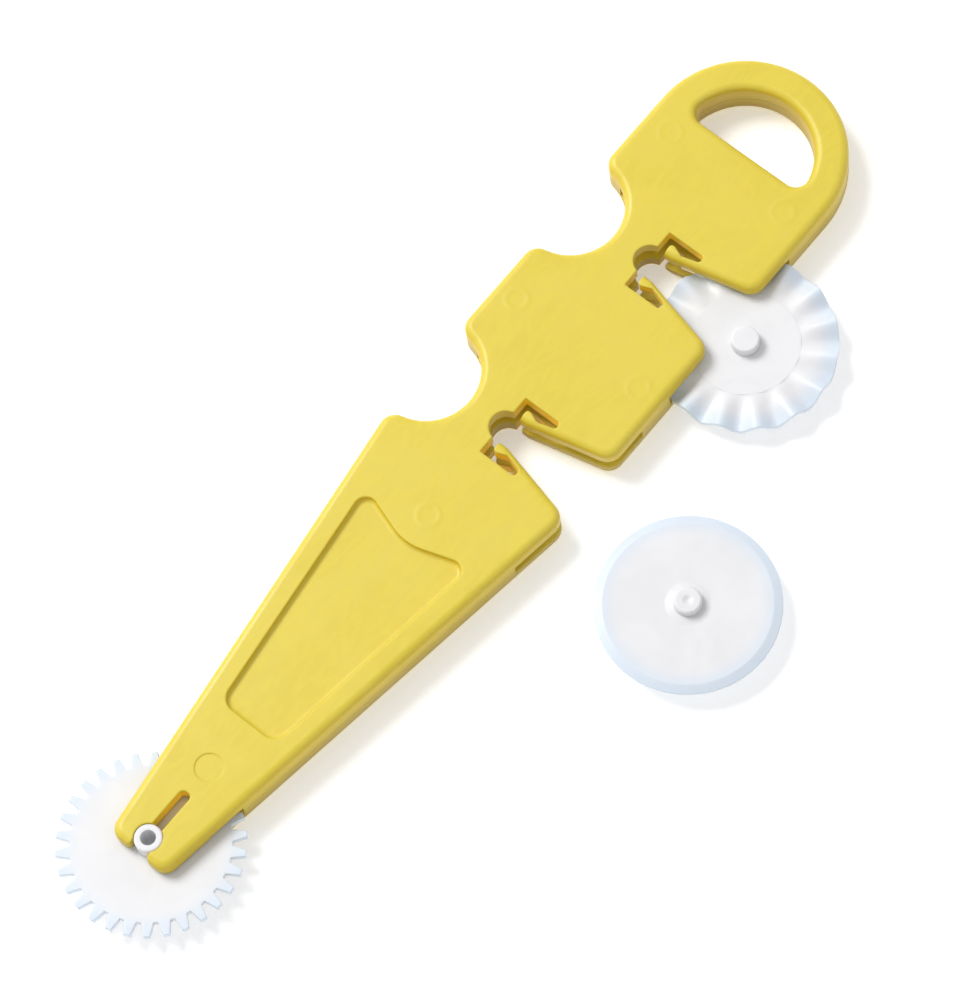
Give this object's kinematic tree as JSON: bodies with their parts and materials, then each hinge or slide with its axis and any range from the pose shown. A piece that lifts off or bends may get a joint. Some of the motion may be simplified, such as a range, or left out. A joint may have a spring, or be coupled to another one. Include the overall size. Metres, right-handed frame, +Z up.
{
  "type": "hand wheel cutter with interchangeable wheels",
  "caption": "Flat moulded hand tool whose fork holds a toothed tracing and cutting wheel, with side snap clips that store spare fluted and plain wheels.",
  "frame": {"origin": "on the handle's back face, on its centre line, 70 mm behind the axle of the working tip", "axes": "+Z is up out of the front face with the tool lying on its back, +Y runs from the working tip to the hanging loop, +X is the way the stored wheels leave the side clips"},
  "size_m": [0.073, 0.1808, 0.0074],
  "materials": {
    "yellow_handle": "satin moulded",
    "white_wheel": "smooth, slightly translucent"
  },
  "bodies": {
    "handle": {"handle_front_half": "yellow_handle", "handle_rear_half": "yellow_handle"},
    "toothed_wheel": {"toothed_wheel": "white_wheel"},
    "fluted_wheel": {"fluted_wheel": "white_wheel"},
    "plain_wheel": {"plain_wheel": "white_wheel"}
  },
  "joints": [
    {"name": "toothed_wheel_spin", "type": "hinge", "parent": "handle", "child": "toothed_wheel", "pos_m": [0, -0.07, 0.0037], "axis": [0, 0, 1], "continuous": true},
    {"name": "fluted_wheel_slide", "type": "slide", "parent": "handle", "child": "fluted_wheel", "axis": [0.9988, -0.0485, 0], "range_m": [-0.0199, 0.016]},
    {"name": "plain_wheel_slide", "type": "slide", "parent": "handle", "child": "plain_wheel", "axis": [0.9928, -0.1201, 0], "range_m": [-0.0408, 0.01]}
  ]
}
